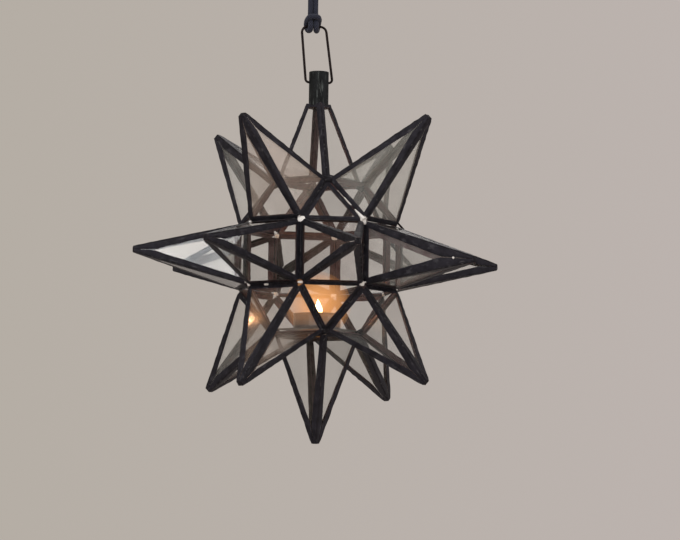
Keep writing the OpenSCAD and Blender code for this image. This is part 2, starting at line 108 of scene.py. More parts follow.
def addNode(tree, kind, **values):
    node = tree.nodes.new(kind)
    for key, value in values.items():
        if key in node.inputs:
            node.inputs[key].default_value = value
        else:
            setattr(node, key, value)
    return node


# noise on the given coordinates, after they are stretched by a factor on each axis
def mappedNoise(tree, coords, stretch, scale, detail, rough):
    source = addNode(tree, "ShaderNodeTexCoord")
    mapping = addNode(tree, "ShaderNodeMapping")
    mapping.inputs["Scale"].default_value = stretch
    noise = addNode(tree, "ShaderNodeTexNoise", Scale=scale, Detail=detail, Roughness=rough)
    tree.links.new(source.outputs[coords], mapping.inputs["Vector"])
    tree.links.new(mapping.outputs["Vector"], noise.inputs["Vector"])
    return noise


# a colour ramp with stops as (place, colour)
def ramp(tree, value, stops):
    node = addNode(tree, "ShaderNodeValToRGB")
    band = node.color_ramp
    while len(band.elements) < len(stops):
        band.elements.new(0.5)
    for element, (place, colour) in zip(band.elements, stops):
        element.position = place
        element.color = (*colour, 1)
    tree.links.new(value, node.inputs["Fac"])
    return node


# from the socket a to the plain colour b; a colour mix has its inputs at places 6 and 7 and its
# result at place 2
def mixColour(tree, factor, a, b):
    node = addNode(tree, "ShaderNodeMix", data_type="RGBA")
    tree.links.new(factor, node.inputs["Factor"])
    tree.links.new(a, node.inputs[6])
    node.inputs[7].default_value = (*b, 1)
    return node.outputs[2]


def bumpFrom(tree, shader, height, distance, strength):
    bump = addNode(tree, "ShaderNodeBump", Strength=strength, Distance=distance)
    tree.links.new(height, bump.inputs["Height"])
    tree.links.new(bump.outputs["Normal"], shader.inputs["Normal"])


# blackened tin: nearly black with a purple cast, dull patches and paler streaks along the strip
def tinMaterial(name, coords, stretch, streaks, dark, pale, metallic):
    mat, tree, shader = startMaterial(name)
    along = mappedNoise(tree, coords, stretch, streaks, 4.0, 0.6)
    patch = mappedNoise(tree, "Object", (1, 1, 1), 160, 4.0, 0.6)
    fine = mappedNoise(tree, "Object", (1, 1, 1), 1500, 2.0, 0.5)
    base = ramp(tree, patch.outputs["Fac"], [(0.35, dark), (0.62, tuple(1.9 * c for c in dark))])
    streak = ramp(tree, along.outputs["Fac"], [(0.56, (0, 0, 0)), (0.7, (1, 1, 1))])
    colour = mixColour(tree, streak.outputs["Color"], base.outputs["Color"], pale)
    tree.links.new(colour, shader.inputs["Base Color"])
    rough = ramp(tree, patch.outputs["Fac"], [(0.3, (0.36,) * 3), (0.7, (0.56,) * 3)])
    tree.links.new(rough.outputs["Color"], shader.inputs["Roughness"])
    shader.inputs["Metallic"].default_value = metallic
    shader.inputs["Specular IOR Level"].default_value = 0.3
    shader.inputs["Specular Tint"].default_value = (0.3, 0.29, 0.31, 1)
    height = addNode(tree, "ShaderNodeMath", operation="ADD")
    tree.links.new(along.outputs["Fac"], height.inputs[0])
    tree.links.new(fine.outputs["Fac"], height.inputs[1])
    bumpFrom(tree, shader, height.outputs[0], 0.00012, 0.6)
    return mat


# coordinates, stretch and size of the streaks, then the dark and the pale colour and how metallic it is
tins = {
    "stripTin": ("UV", (0.35, 3.0, 1), 3.2, (0.0155, 0.0145, 0.0185), (0.07, 0.067, 0.075), 0.4),
    "solderTin": ("Object", (1, 1, 1), 420, (0.016, 0.015, 0.018), (0.1, 0.098, 0.1), 0.7),
    # the brown of the inner tin is painted candle light on the tin inside the lantern
    "candlelitTin": ("UV", (0.35, 3.0, 1), 3.2, (0.062, 0.036, 0.038), (0.15, 0.105, 0.102), 0.3),
    "neckTin": ("Object", (1, 1, 0.12), 420, (0.0125, 0.0135, 0.014), (0.13, 0.145, 0.14), 0.55),
    "wireTin": ("Object", (1, 1, 0.3), 700, (0.013, 0.009, 0.009), (0.05, 0.036, 0.032), 0.6),
    "hookBlack": ("Object", (1, 1, 0.4), 500, (0.014, 0.014, 0.015), (0.07, 0.07, 0.07), 0.5),
}
stripTin, solderTin, candlelitTin, neckTin, wireTin, hookBlack = (tinMaterial(k, *v) for k, v in tins.items())


# glass in thin panes: see-through, with a film of dust and smears that is thicker in patches; low and
# high are how much of the film shows where it is thin and where it is thick, mirror how shiny it is,
# and rim what is added where the glass is seen from its side
def glassMaterial(name, thin, thick, low, high, mirror, rough=0.06, rim=0.09):
    mat, tree, shader = startMaterial(name)
    smear = mappedNoise(tree, "Object", (1, 1, 0.45), 24, 4.0, 0.6)
    ripple = mappedNoise(tree, "Object", (1, 1, 1), 55, 1.0, 0.4)
    film = ramp(tree, smear.outputs["Fac"], [(0.35, thin), (0.7, thick)])
    tree.links.new(film.outputs["Color"], shader.inputs["Base Color"])
    facing = addNode(tree, "ShaderNodeLayerWeight", Blend=0.3)
    haze = addNode(tree, "ShaderNodeMapRange")
    haze.inputs["From Min"].default_value = 0.33
    haze.inputs["From Max"].default_value = 0.72
    haze.inputs["To Min"].default_value = low
    haze.inputs["To Max"].default_value = high
    tree.links.new(smear.outputs["Fac"], haze.inputs["Value"])
    edge = addNode(tree, "ShaderNodeMath", operation="MULTIPLY_ADD")
    edge.inputs[1].default_value = rim
    tree.links.new(facing.outputs["Fresnel"], edge.inputs[0])
    tree.links.new(haze.outputs["Result"], edge.inputs[2])
    tree.links.new(edge.outputs[0], shader.inputs["Alpha"])
    shader.inputs["Roughness"].default_value = rough
    shader.inputs["Metallic"].default_value = mirror
    shader.inputs["IOR"].default_value = 1.9
    bumpFrom(tree, shader, ripple.outputs["Fac"], 0.0001, 0.25)
    return mat


# the film's colour where it is thin and thick, how much of it shows there, mirror, roughness and rim
films = {
    "clear": ((0.14, 0.145, 0.12), (0.17, 0.175, 0.15), 0.04, 0.085, 0.3),
    "open": ((0.3, 0.3, 0.27), (0.34, 0.34, 0.31), 0.01, 0.03, 0.3),
    "hazy": ((0.42, 0.42, 0.39), (0.5, 0.5, 0.47), 0.07, 0.16, 0.1),
    "milky": ((0.5, 0.5, 0.46), (0.58, 0.58, 0.54), 0.1, 0.2, 0.1),
    "warm": ((0.25, 0.17, 0.125), (0.29, 0.21, 0.17), 0.055, 0.13, 0.3),
    "dusty": ((0.54, 0.43, 0.35), (0.6, 0.5, 0.43), 0.1, 0.2, 0.1),
    "bright": ((0.84, 0.87, 0.9), (0.93, 0.95, 0.97), 0.003, 0.018, 0.85, 0.06, 1.0),
    "dull": ((0.15, 0.15, 0.14), (0.19, 0.19, 0.175), 0.05, 0.11, 0.0, 0.5),
    # the lit film's warm colour is painted candle light on these panes
    "lit": ((0.46, 0.36, 0.29), (0.52, 0.42, 0.35), 0.07, 0.14, 0.85, 0.2, 0.12),
}
panes = {kind: glassMaterial(kind + "Panes", *film) for kind, film in films.items()}
# the film on each point's panes; those not named here are clear
paneOf = {
    "door": "milky", "front_right_point": "hazy", "back_right_point": "hazy",
    "lower_back_left": "hazy", "upper_back_left": "hazy", "upper_front_left": "dusty",
    "lower_front_left": "lit", "front_point": "warm", "left_point": "bright",
    "lower_front_right": "dull", "top_point": "open",
}


def plainMetal(name, colour, rough, scale, metallic):
    mat, tree, shader = startMaterial(name)
    grain = mappedNoise(tree, "Object", (1, 1, 1), scale, 4.0, 0.6)
    tone = ramp(tree, grain.outputs["Fac"], [(0.3, tuple(0.7 * c for c in colour)), (0.7, colour)])
    tree.links.new(tone.outputs["Color"], shader.inputs["Base Color"])
    shine = ramp(tree, grain.outputs["Fac"], [(0.3, (rough - 0.08,) * 3), (0.7, (rough + 0.12,) * 3)])
    tree.links.new(shine.outputs["Color"], shader.inputs["Roughness"])
    shader.inputs["Metallic"].default_value = metallic
    bumpFrom(tree, shader, grain.outputs["Fac"], 0.0001, 0.4)
    return mat


plateTin = plainMetal("plateTin", (0.3, 0.28, 0.26), 0.5, 300, 0.6)
cupAluminium = plainMetal("cupAluminium", (0.34, 0.31, 0.29), 0.36, 220, 0.9)
# near-white and not metallic: bare tin whose whiteness is a painted glint
bareTinAndGlint = plainMetal("bareTinAndGlint", (0.97, 0.92, 0.87), 0.42, 900, 0.0)


def waxMaterial():
    mat, tree, shader = startMaterial("candleWax")
    cloud = mappedNoise(tree, "Object", (1, 1, 1), 120, 3.0, 0.5)
    tone = ramp(tree, cloud.outputs["Fac"], [(0.3, (0.86, 0.76, 0.58)), (0.7, (0.93, 0.87, 0.72))])
    tree.links.new(tone.outputs["Color"], shader.inputs["Base Color"])
    shader.inputs["Roughness"].default_value = 0.35
    shader.inputs["Subsurface Weight"].default_value = 0.4
    shader.inputs["Subsurface Scale"].default_value = 0.004
    shader.inputs["Subsurface Radius"].default_value = (1.0, 0.6, 0.3)
    bumpFrom(tree, shader, cloud.outputs["Fac"], 0.0002, 0.3)
    return mat


def charredCotton():
    mat, tree, shader = startMaterial("charredCotton")
    twist = mappedNoise(tree, "Object", (1, 1, 1), 2500, 2.0, 0.5)
    tone = ramp(tree, twist.outputs["Fac"], [(0.35, (0.01, 0.008, 0.007)), (0.7, (0.06, 0.045, 0.035))])
    tree.links.new(tone.outputs["Color"], shader.inputs["Base Color"])
    shader.inputs["Roughness"].default_value = 0.9
    bumpFrom(tree, shader, twist.outputs["Fac"], 0.0002, 0.8)
    return mat


# the flame glows from its foot to its tip: dim red at the wick, pale yellow in its body, then orange
def flameMaterial():
    mat, tree, shader = startMaterial("candleFlame")
    place = addNode(tree, "ShaderNodeUVMap", uv_map="UVMap")
    split = addNode(tree, "ShaderNodeSeparateXYZ")
    tree.links.new(place.outputs["UV"], split.inputs["Vector"])
    glow = ramp(tree, split.outputs["Y"], [
        (0.0, (0.25, 0.12, 0.05)), (0.2, (1.0, 0.5, 0.14)),
        (0.45, (1.0, 0.86, 0.5)), (1.0, (1.0, 0.68, 0.25)),
    ])
    tree.links.new(glow.outputs["Color"], shader.inputs["Emission Color"])
    tree.links.new(glow.outputs["Color"], shader.inputs["Base Color"])
    shader.inputs["Emission Strength"].default_value = 14.0
    shader.inputs["Roughness"].default_value = 1.0
    return mat


# the painted glow of the lit air round the flame: thin shells, each a little see-through glow
def glowMaterial():
    mat, tree, shader = startMaterial("flamePaintedGlow")
    drift = mappedNoise(tree, "Object", (1, 1, 0.4), 70, 2.0, 0.5)
    tone = ramp(tree, drift.outputs["Fac"], [(0.3, (1.0, 0.39, 0.11)), (0.7, (1.0, 0.47, 0.17))])
    tree.links.new(tone.outputs["Color"], shader.inputs["Emission Color"])
    shader.inputs["Base Color"].default_value = (0, 0, 0, 1)
    shader.inputs["Specular IOR Level"].default_value = 0.0
    shader.inputs["Emission Strength"].default_value = 1.3
    shader.inputs["Alpha"].default_value = 0.06
    return mat


# braided cord: strands cross on the piece's own coordinates, u round it and v along it
def cordMaterial():
    mat, tree, shader = startMaterial("braidedCord")
    place = addNode(tree, "ShaderNodeUVMap", uv_map="UVMap")
    waves = []
    for turn in (-1, 1):
        mapping = addNode(tree, "ShaderNodeMapping")
        mapping.inputs["Rotation"].default_value = (0, 0, math.radians(45 * turn))
        wave = addNode(tree, "ShaderNodeTexWave", Scale=3.2, Distortion=0.5, Detail=1.0)
        tree.links.new(place.outputs["UV"], mapping.inputs["Vector"])
        tree.links.new(mapping.outputs["Vector"], wave.inputs["Vector"])
        waves.append(wave.outputs["Fac"])
    weave = addNode(tree, "ShaderNodeMath", operation="MAXIMUM")
    tree.links.new(waves[0], weave.inputs[0])
    tree.links.new(waves[1], weave.inputs[1])
    tone = ramp(tree, weave.outputs[0], [(0.35, (0.005, 0.0058, 0.0125)), (0.95, (0.02, 0.0235, 0.048))])
    tree.links.new(tone.outputs["Color"], shader.inputs["Base Color"])
    shader.inputs["Roughness"].default_value = 0.85
    shader.inputs["Sheen Weight"].default_value = 0.08
    bumpFrom(tree, shader, weave.outputs[0], 0.0003, 0.7)
    return mat


candleWax = waxMaterial()
wickCotton = charredCotton()
flameGlow = flameMaterial()
flamePaintedGlow = glowMaterial()
braidedCord = cordMaterial()


# joins parts into one object; a part is its points in mm, its quads, a uv per point, a material index
# or one per quad, its caps as lists of points, and the material of each cap
def makePiece(name, parts, materials, sharp=35):
    points, quads, spots, index, extra = [], [], [], [], []
    count = 0
    for part in parts:
        p, q, uv, m, caps, capMaterials = part
        points.append(p)
        quads.append(q + count)
        spots.append(uv)
        index.append(np.broadcast_to(m, len(q)))
        extra += [([i + count for i in cap], c) for cap, c in zip(caps, capMaterials)]
        count += len(p)
    points, quads, spots = np.vstack(points), np.vstack(quads), np.vstack(spots)
    faces = quads.tolist() + [f for f, m in extra]
    mesh = bpy.data.meshes.new(name)
    mesh.from_pydata((points * mm).tolist(), [], faces)
    mats = np.concatenate([*index, [m for f, m in extra]]).astype(np.int32)
    mesh.polygons.foreach_set("material_index", mats)
    mesh.polygons.foreach_set("use_smooth", np.ones(len(faces), bool))
    corner = np.zeros(len(mesh.loops), np.int32)
    mesh.loops.foreach_get("vertex_index", corner)
    layer = mesh.uv_layers.new(name="UVMap")
    layer.data.foreach_set("uv", spots[corner].astype(np.float32).ravel())
    mesh.set_sharp_from_angle(angle=math.radians(sharp))
    for mat in materials:
        mesh.materials.append(mat)
    mesh.validate()
    obj = bpy.data.objects.new(name, mesh)
    scene.collection.objects.link(obj)
    return obj


# quads of a grid of rows by cols points, closed round its columns
def gridFaces(rows, cols):
    r = np.arange(rows - 1)[:, None] * cols
    c = np.arange(cols)[None, :]
    d = (c + 1) % cols
    return np.stack([r + c, r + d, r + cols + d, r + cols + c], -1).reshape(-1, 4)


# a closed body from rings (n, m, 3) of points, with a cap at each end; its faces are turned outwards
# where its signed volume, the sum of a . (b x c) over the triangles, comes out negative
def closedSweep(rings, uv, material=0, capMaterials=None):
    n, m, _ = rings.shape
    points = rings.reshape(-1, 3)
    quads = gridFaces(n, m)
    caps = [list(range(m))[::-1], [(n - 1) * m + i for i in range(m)]]
    a, b, c, d = (points[quads[:, i]] - points.mean(0) for i in range(4))
    volume = np.sum(a * np.cross(b, c)) + np.sum(a * np.cross(c, d))
    if volume < 0:
        quads, caps = quads[:, ::-1], [cap[::-1] for cap in caps]
    return points, quads, uv.reshape(-1, 2), material, caps, capMaterials or (material, material)


# a smooth hand-made unevenness along s: a sum of sines with seeded lengths and phases
def wobble(s, seed, size, waves=3):
    rng = np.random.default_rng(seed)
    total = np.zeros_like(s, dtype=float)
    for k in range(waves):
        total += np.sin(s * rng.uniform(0.12, 0.55) + rng.uniform(0, 6.28)) / waves
    return size * total


# directions across a path at each point, each turned as little as possible from the last
def carriedFrame(path, first):
    run = np.gradient(path, axis=0)
    run /= np.linalg.norm(run, axis=1)[:, None]
    u = np.zeros_like(path)
    last = np.array(first, float)
    for i, t in enumerate(run):
        last = last - t * (t @ last)
        last /= np.linalg.norm(last)
        u[i] = last
    return run, u, np.cross(run, u)


# a curve through the points: on each stretch a cubic whose slope at a point is half the step between
# its neighbours
def smoothPath(points, steps):
    p = np.array(points, float)
    m = len(p) - 1
    out = []
    for i in range(m):
        a, b, c, d = p[max(i - 1, 0)], p[i], p[i + 1], p[min(i + 2, m)]
        t = np.arange(steps)[:, None] / steps
        square, cube = 2 * a - 5 * b + 4 * c - d, 3 * b - a - 3 * c + d
        out.append((2 * b + (c - a) * t + square * t**2 + cube * t**3) / 2)
    return np.vstack([*out, p[-1:]])


# millimetres of a tube and of a strip in one length of their texture
tubeRepeat, stripRepeat = 12, 10


# a round tube: ring i is path[i] + radius * (u cos a + v sin a), with u and v across the path; ends
# are the directions that its first and last rings face, where the path alone would tilt them
def tubeAlong(path, radius, sides, material=0, first=(0, 1, 0), ends=None):
    run, u, v = carriedFrame(path, first)
    if ends is not None:
        for i, end in ((0, ends[0]), (-1, ends[1])):
            t = np.array(end, float)
            u[i] = u[i] - t * (t @ u[i])
            u[i] /= np.linalg.norm(u[i])
            v[i] = np.cross(t, u[i])
    a = np.linspace(0, 2 * np.pi, sides, endpoint=False)
    r = np.broadcast_to(radius, len(path))[:, None, None]
    cos, sin = np.cos(a)[None, :, None], np.sin(a)[None, :, None]
    rings = path[:, None] + r * (u[:, None] * cos + v[:, None] * sin)
    far = np.r_[0, np.cumsum(np.linalg.norm(np.diff(path, axis=0), axis=1))]
    uv = np.stack(np.broadcast_arrays(a[None, :] / (2 * np.pi), far[:, None] / tubeRepeat), -1)
    return closedSweep(rings, uv, material)


# the doubled cord over the ceiling hook and its hitch on the wire loop, in the part's own millimetres
cordRoute = {
    "radius": 2.15,
    "hitchRadius": 2.2,
    "sides": 16,
    "loopBar": -100,  # height of the loop's top bar
    "hook": -38,  # height of the middle of the hook's bend
    "wrap": 4.4,  # radius of the cord's line over the hook
    # the right half of each path, from the hitch up (across and height over the loop's bar) and from
    # the front of the hitch round its bar (across, depth and height)
    "strand": [(2.1, 11), (2.2, 25), (3.4, 45), (4.3, 57)],
    "hitch": [
        (0, -5.2, 7.2), (2, -5.2, 7.1), (3.6, -4.6, 6.6), (4.7, -2.2, 5.2), (4.9, 0.6, 3.8),
        (4.8, 2.6, 1.8), (4.3, 3, -1), (3.4, 1.2, -3.1), (2.4, -1.5, -3), (2.2, -3.2, -0.7),
        (2.2, -3, 2.3), (2.2, -1.5, 5.3), (2.1, -0.3, 8.2), (2.1, 0, 11),
    ],
}


def makeCord(c):
    mirror = np.array([-1, 1, 1])
    up, down = (0, 0, 1), (0, 0, -1)
    right = smoothPath([(x, 0, c["loopBar"] + z) for x, z in c["strand"]], 4)
    angle = np.radians(np.arange(10, 171, 10))
    over = np.stack([c["wrap"] * np.cos(angle), 0 * angle, c["hook"] + c["wrap"] * np.sin(angle)], -1)
    path = np.vstack([right, over, (right * mirror)[::-1]])
    tube = tubeAlong(path, c["radius"], c["sides"], ends=(up, down))
    cord = makePiece("hangingCordBraid", [tube], [braidedCord], 60)
    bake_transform(cord)
    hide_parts("hanging_cord")
    half = smoothPath(c["hitch"], 6) + np.array([0, 0, c["loopBar"]])
    whole = np.vstack([(half * mirror)[::-1], half[1:]])
    tube = tubeAlong(whole, c["hitchRadius"], c["sides"], ends=(down, up))
    knot = makePiece("cordHitch", [tube], [braidedCord], 60)
    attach(knot, "knot")
    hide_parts("cord_knot")


makeCord(cordRoute)


# the star: the same sizes, directions and leaning tips as the part's source, in millimetres
star = {
    "centre": (7.0, 0, -287.655),
    "side": 50,
    "pointHeight": 87,
    "mouthHeight": 65,
    "mouthHalf": 7.3,
    "paneThick": 1.9,
    "foldThick": 1.5,  # over the two flanges
    "foldTin": 0.14,  # the tin itself
    "waver": 0.16,  # how far the strips' edges and the beads wander
    "lift": 0.05,  # and how far a strip stands off its pane
    # widths of the outer flanges, and how far in from the edge each fold begins
    "baseStrip": 3.8,
    "baseFold": 0.37,
    "doorFold": 0.5,  # on the side of the door that stands open
    "ridgeStrip": 4.2,
    "ridgeFold": 1.6,
    "topWider": 0.4,  # added to the ridge strips of the top point
    "rimStrip": 4.0,
    "rimFold": 1.2,
    # inner flanges, as a share of the outer one and what is added: narrow along the ridges, but for
    # one on the front right point, wider round the back squares and narrower round the lowest ones
    "innerRidge": (0.33, 0.8),
    "innerWide": {("front_right_point", 3): (1, 4.2)},
    "innerBase": {
        "back_point": (1, 1.3), "back_left_point": (1, 1.3), "back_right_point": (1, 1.3),
        "bottom_point": (1, -2.2), "lower_front_left": (1, -1.6), "lower_front_right": (1, -1.6),
    },
    "ridgeBead": (0.6, 3.2, 1.15, 1.1),  # radius, distance from the base, depth there and at the tip
    "tipSolder": 15,
    "longTip": {"front_right_point": 26},  # its solder runs further down from the tip
    "tipBlob": (2.5, 2.5, 2.15),
    "tipDepth": 2.2,
    # how far the strips stop short of a corner of the body, of a tip and of a corner of the mouth
    "cornerCut": (2.3, 3.2),
    "tipCut": 0.2,
    "rimCut": (0.3, 0.3),
    # each point's azimuth and height over the ring in degrees, and how far its tip leans in x, y, z
    "points": {
        "top_point": (45, 90, (-1.4, 0, 0)),
        "door": (45, 45, (-1, 0, 3)),
        "upper_back_right": (135, 45, (0, 0, 0)),
        "upper_back_left": (225, 45, (1, 0, 2)),
        "upper_front_left": (315, 45, (-1, 0, -2)),
        "front_point": (0, 0, (3, -1, -1)),
        "front_right_point": (45, 0, (-1, 0, -7)),
        "right_point": (90, 0, (0, 0, -2)),
        "back_right_point": (135, 0, (0, 0, 0)),
        "back_point": (180, 0, (-6, -1, 1)),
        "back_left_point": (225, 0, (2, 0, -1)),
        "left_point": (270, 0, (-1, 0, 3)),
        "front_left_point": (315, 0, (-1, 0, 3)),
        "lower_front_right": (45, -45, (-1, 0, 3)),
        "lower_back_right": (135, -45, (0, 0, -3)),
        "lower_back_left": (225, -45, (-2, 0, 1)),
        "lower_front_left": (315, -45, (1, 0, -1)),
        "bottom_point": (45, -90, (0, 0, 0)),
    },
    "doorGap": (0.3, 0.3, 0.9, 0.3),  # right, top, left, bottom
    "doorCorner": 1.5,  # the door's strips stop further from its lower left corner
    # width and fold of the triangles' strips, the side along the ring first
    "upperTriangle": ((3.8, 1.35), (3.8, 1.0), (3.8, 1.35)),
    "lowerTriangle": ((1.7, 0.6), (2.4, 0.9), (2.4, 0.9)),
}
stripMetals = [stripTin, solderTin, candlelitTin]
half = star["side"] / 2
faceDistance = half * (1 + math.sqrt(2))  # from the body's middle to the squares
centre = np.array(star["centre"])
tipHalf = 1.4 * star["paneThick"]  # half the side of a cut tip
corners = np.array([(-1, -1), (1, -1), (1, 1), (-1, 1)], float)


def paint(node, mat):
    nodes[node].data.materials.clear()
    nodes[node].data.materials.append(mat)


def outward(az, el):
    az, el = math.radians(az), math.radians(el)
    return np.array([math.sin(az) * math.cos(el), -math.cos(az) * math.cos(el), math.sin(el)])


# the two directions that span a point's base square: level, and up the slope
def across(az, el):
    a, e = math.radians(az), math.radians(el)
    level = (math.cos(a), math.sin(a), 0)
    return np.array([level, (-math.sin(a) * math.sin(e), math.cos(a) * math.sin(e), math.cos(e))])


# base and tip corners of a point, counted from its lower left
def pointCorners(name):
    az, el, lean = star["points"][name]
    gap = star["doorGap"] if name == "door" else (0, 0, 0, 0)
    size = np.array([half - (gap[0] + gap[2]) / 2, half - (gap[1] + gap[3]) / 2])
    shift = np.array([(gap[2] - gap[0]) / 2, (gap[3] - gap[1]) / 2])
    top = name == "top_point"
    reach, tip = (star["mouthHeight"], star["mouthHalf"]) if top else (star["pointHeight"], tipHalf)
    n, span = outward(az, el), across(az, el)
    base = centre + n * faceDistance + (corners * size + shift) @ span
    end = centre + n * (faceDistance + reach) + np.array(lean) + (corners * tip) @ span
    return base, end


def unit(v):
    return v / np.linalg.norm(v)


# tin folded over one edge of a pane: the profile runs in along the outer flange, round the fold with
# half its thickness as its radius, back along the inner flange, and returns one tin's thickness
# deeper; x is measured in the pane's plane from the edge a to b, depth along the inward normal; trim
# is how far the strip stops short of a and b, inside the inner flange's share of the outer and more
def foldedStrip(a, b, n, width, fold, seed, trim, steps=20, inside=(1, 0)):
    thick, tin = star["foldThick"], star["foldTin"]
    share, more = inside
    sink = (star["paneThick"] - thick) / 2
    length = np.linalg.norm(b - a)
    e = (b - a) / length
    d = np.cross(n, e)
    low, high = trim[0], length - trim[1]
    s = np.r_[low, np.linspace(low + 0.7, high - 0.7, steps), high]
    w = width(s) + wobble(s, seed, star["waver"])
    r, q = thick / 2, thick / 2 - tin
    turn = np.radians(np.array([100, 125, 150, 180, 210, 235, 260]))
    back = np.radians(np.array([255, 180, 105]))
    # columns: share of the width, offset from it, and depth
    outer = [(1, 0.0, 0.06), (1, -0.25, -0.02), (0.55, 0.4, -0.04), (0, fold, 0.0)]
    outer += [(0, fold + r * math.cos(t), r - r * math.sin(t)) for t in turn]
    outer += [(0, fold, thick), (share / 2, (fold + more) / 2, thick + 0.02), (share, more, thick - 0.06)]
    inner = [(share, more, thick - tin), (0, fold, thick - tin)]
    inner += [(0, fold + q * math.cos(t), r - q * math.sin(t)) for t in back]
    inner += [(0, fold, tin), (1, 0.0, tin)]
    profile = np.array(outer + inner)
    lift = wobble(s, seed + 7, star["lift"])
    x = profile[None, :, 0] * w[:, None] + profile[None, :, 1]
    depth = profile[None, :, 2] + lift[:, None]
    rings = a + s[:, None, None] * e + x[..., None] * d - (depth[..., None] + sink) * n
    along, around = s[:, None] / stripRepeat + seed * 0.37, np.linspace(0, 1, len(profile))[None, :]
    uv = np.stack(np.broadcast_arrays(along, around), -1)
    # blackened from outer flange to the back of the fold, brown inside and where cut: painted candle
    # light
    column = np.where(np.arange(len(profile)) < 9, 0, 2)
    mats = np.tile(column, (len(s) - 1, 1))
    return closedSweep(rings, uv, mats.ravel(), (2, 2))


# a run of solder from a to b: a tube whose radius and line wander a little
def bead(a, b, radius, seed, steps=26, material=1):
    s = np.linspace(0, np.linalg.norm(b - a), steps)
    path = a + (b - a) * np.linspace(0, 1, steps)[:, None]
    first = np.cross(b - a, (0.3, 0.5, 0.8))
    side, other = unit(first), unit(np.cross(b - a, first))
    waver = star["waver"]
    path = path + side * wobble(s, seed, waver)[:, None] + other * wobble(s, seed + 3, waver)[:, None]
    size = radius * (1 + wobble(s * 2.2, seed + 5, 0.45, 4))
    size[[0, -1]] *= 0.5
    return tubeAlong(path, size, 8, material, first)


# a lump of solder: a squarish ball, sign(cos) |cos|^0.4 on each axis, with a seeded unevenness
def solderBlob(middle, axes, size, seed, material=1, rows=12, cols=16):
    lat = np.linspace(-np.pi / 2, np.pi / 2, rows)[1:-1]
    lon = np.linspace(0, 2 * np.pi, cols, endpoint=False)
    soft = lambda v: np.sign(v) * np.abs(v) ** 0.4
    x = soft(np.cos(lat))[:, None] * soft(np.cos(lon))[None]
    y = soft(np.cos(lat))[:, None] * soft(np.sin(lon))[None]
    z = np.broadcast_to(soft(np.sin(lat))[:, None], x.shape)
    rng = np.random.default_rng(seed)
    dents = np.sin(3 * lon[None] + rng.uniform(0, 6)) * np.cos(2 * lat[:, None] + rng.uniform(0, 6))
    lump = 1 + 0.07 * dents
    grid = np.stack([x * lump * size[0], y * lump * size[1], z * size[2]], -1)
    uv = np.stack(np.broadcast_arrays(lon[None] / (2 * np.pi), lat[:, None] / np.pi), -1)
    return closedSweep(middle + grid @ axes, uv, material)


# width of the strip along a ridge: it grows in a straight line from the base to where the solder
# begins, and from there to the tip it fills half the pane
def paneWidth(base, end, k, j, isTop, solder):
    ridge = star["ridgeStrip"]
    if isTop:
        return lambda s: np.full_like(s, ridge + star["topWider"])
    a, b = base[k], end[k]
    length = np.linalg.norm(b - a)
    e = (b - a) / length
    away = lambda p: np.linalg.norm((p - a) - e * ((p - a) @ e))
    low, high = away((base[k] + base[j]) / 2), away((end[k] + end[j]) / 2)
    knee = length - solder
    atKnee = low + (high - low) * knee / length
    return lambda s: np.where(
        s < knee, ridge + (atKnee - ridge) * s / knee, low + (high - low) * s / length,
    )


# one point: for each pane a folded strip along its base and one along each ridge, then a bead of solder
# inside each ridge and a lump of it on the tip
def makePoint(name, index):
    base, end = pointCorners(name)
    az, el, _ = star["points"][name]
    isTop, isDoor = name == "top_point", name == "door"
    solder = star["longTip"].get(name, star["tipSolder"])
    inBase, inRidge = star["innerBase"].get(name, (1, 0)), star["innerRidge"]
    fold, tipCut = star["ridgeFold"], star["tipCut"]
    flat = lambda s: np.full_like(s, star["baseStrip"])
    rim = lambda s: np.full_like(s, star["rimStrip"])
    parts = []
    normals = [unit(np.cross(base[(k + 1) % 4] - base[k], end[k] - base[k])) for k in range(4)]
    rng = np.random.default_rng(100 + index)
    for k in range(4):
        j = (k + 1) % 4
        n = normals[k]
        seed = index * 40 + k * 6
        cut = rng.uniform(*star["cornerCut"], 4)
        if isDoor and k == 0:
            cut[0] += star["doorCorner"]
        if isDoor and k == 3:
            cut[1] += star["doorCorner"]
        baseFold = star["doorFold"] if isDoor and k == 3 else star["baseFold"]
        parts.append(foldedStrip(base[k], base[j], n, flat, baseFold, seed, cut[:2], 20, inBase))
        left = paneWidth(base, end, k, j, isTop, solder)
        right = paneWidth(base, end, j, k, isTop, solder)
        turned = lambda s, f=left, full=np.linalg.norm(end[k] - base[k]): f(full - s)
        wide = star["innerWide"].get((name, k), inRidge)
        # each ridge strip is folded with its edge on the left of the run, seen from outside
        parts.append(foldedStrip(
            base[j], end[j], n, right, fold, seed + 1, (cut[2], tipCut), 30, inRidge,
        ))
        parts.append(foldedStrip(
            end[k], base[k], n, turned, fold, seed + 2, (tipCut, cut[3]), 30, wide,
        ))
        if isTop:
            parts.append(foldedStrip(
                end[j], end[k], n, rim, star["rimFold"], seed + 3, star["rimCut"], 10, inRidge,
            ))
    radius, short, low, high = star["ridgeBead"]
    for k in range(4):
        inward = -unit(normals[k] + normals[(k + 3) % 4])
        start = base[k] + unit(end[k] - base[k]) * short
        parts.append(bead(start + inward * low, end[k] + inward * high, radius, index * 40 + 30 + k))
    if not isTop:
        n = outward(az, el)
        axes = np.vstack([across(az, el), n])
        middle = end.mean(0) - n * star["tipDepth"]
        parts.append(solderBlob(middle, axes, star["tipBlob"], 300 + index))
    return parts


def makeStar():
    for index, name in enumerate(star["points"]):
        piece = makePiece(name.replace("_", "") + "Strips", makePoint(name, index), stripMetals)
        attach(piece, "door" if name == "door" else "star")
        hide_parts(name + "_frame")
        paint(name + "_glass", panes[paneOf.get(name, "clear")])
    print("points", len(star["points"]))


makeStar()


